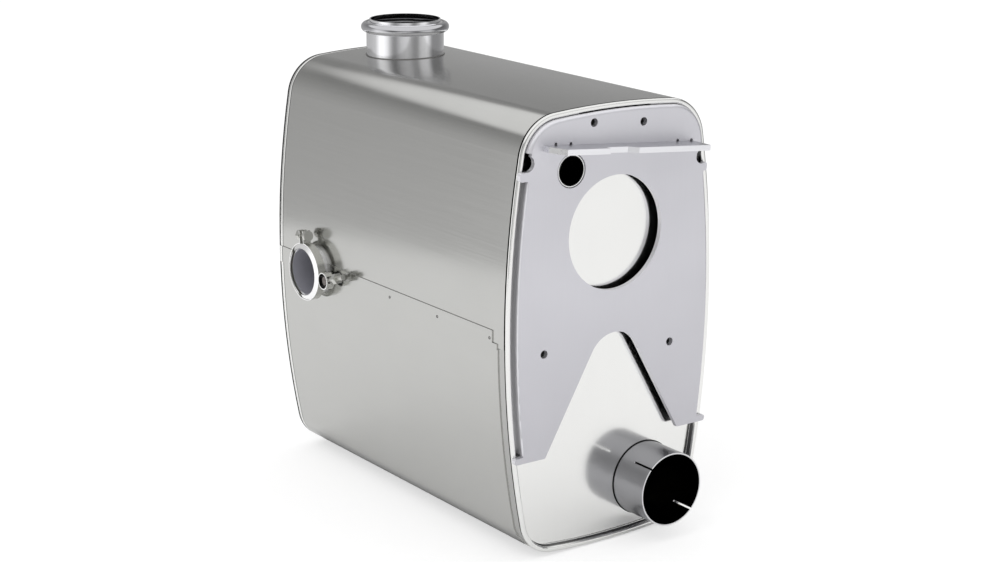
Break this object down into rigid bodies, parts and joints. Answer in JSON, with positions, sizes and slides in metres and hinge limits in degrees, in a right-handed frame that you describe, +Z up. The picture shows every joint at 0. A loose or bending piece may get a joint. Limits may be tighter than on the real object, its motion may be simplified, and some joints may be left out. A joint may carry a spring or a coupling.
{
  "type": "scr muffler",
  "caption": "Box-shaped exhaust muffler with catalysts inside, a rear top inlet, a low front outlet, a side dosing port and a flat front mounting bracket.",
  "frame": {"origin": "on the mounting plate's front face, on the body's centre plane, at the height where the barrel section is widest", "axes": "X across the body to the right seen from the front, Y from the bracket at the front to the rear, Z up through the inlet"},
  "size_m": [0.3905, 0.6718, 0.6945],
  "materials": {
    "casing_steel": "brushed, lightly glossy",
    "cap_steel": "polished",
    "plate_steel": "matte pickled",
    "pipe_steel": "smooth drawn tube",
    "clamp_steel": "smooth",
    "zinc_steel": "zinc plated",
    "inner_steel": "dull",
    "catalyst_ceramic": "matte porous",
    "mat_fibre": "matte fibre"
  },
  "bodies": {
    "root": {"upper_shell": "casing_steel", "lower_shell": "casing_steel", "front_cap": "cap_steel", "rear_cap": "cap_steel", "inner_liner": "inner_steel", "insulation_blanket": "mat_fibre", "front_baffle": "inner_steel", "rear_baffle": "inner_steel", "upper_canister": "inner_steel", "lower_canister": "inner_steel", "upper_mat": "mat_fibre", "lower_mat": "mat_fibre", "upper_catalyst": "catalyst_ceramic", "lower_catalyst": "catalyst_ceramic", "inlet_spigot": "pipe_steel", "mixing_pipe": "inner_steel", "outlet_pipe": "pipe_steel", "sensor_tube": "pipe_steel", "mounting_plate": "plate_steel", "bracket_shelf": "plate_steel", "weld_nuts": "zinc_steel", "side_port": "pipe_steel", "clamp_segments": "clamp_steel", "clamp_band": "clamp_steel", "ear_bolt": "zinc_steel", "ear_nut": "zinc_steel", "swing_bolt": "zinc_steel", "swing_nut": "zinc_steel"}
  },
  "joints": []
}
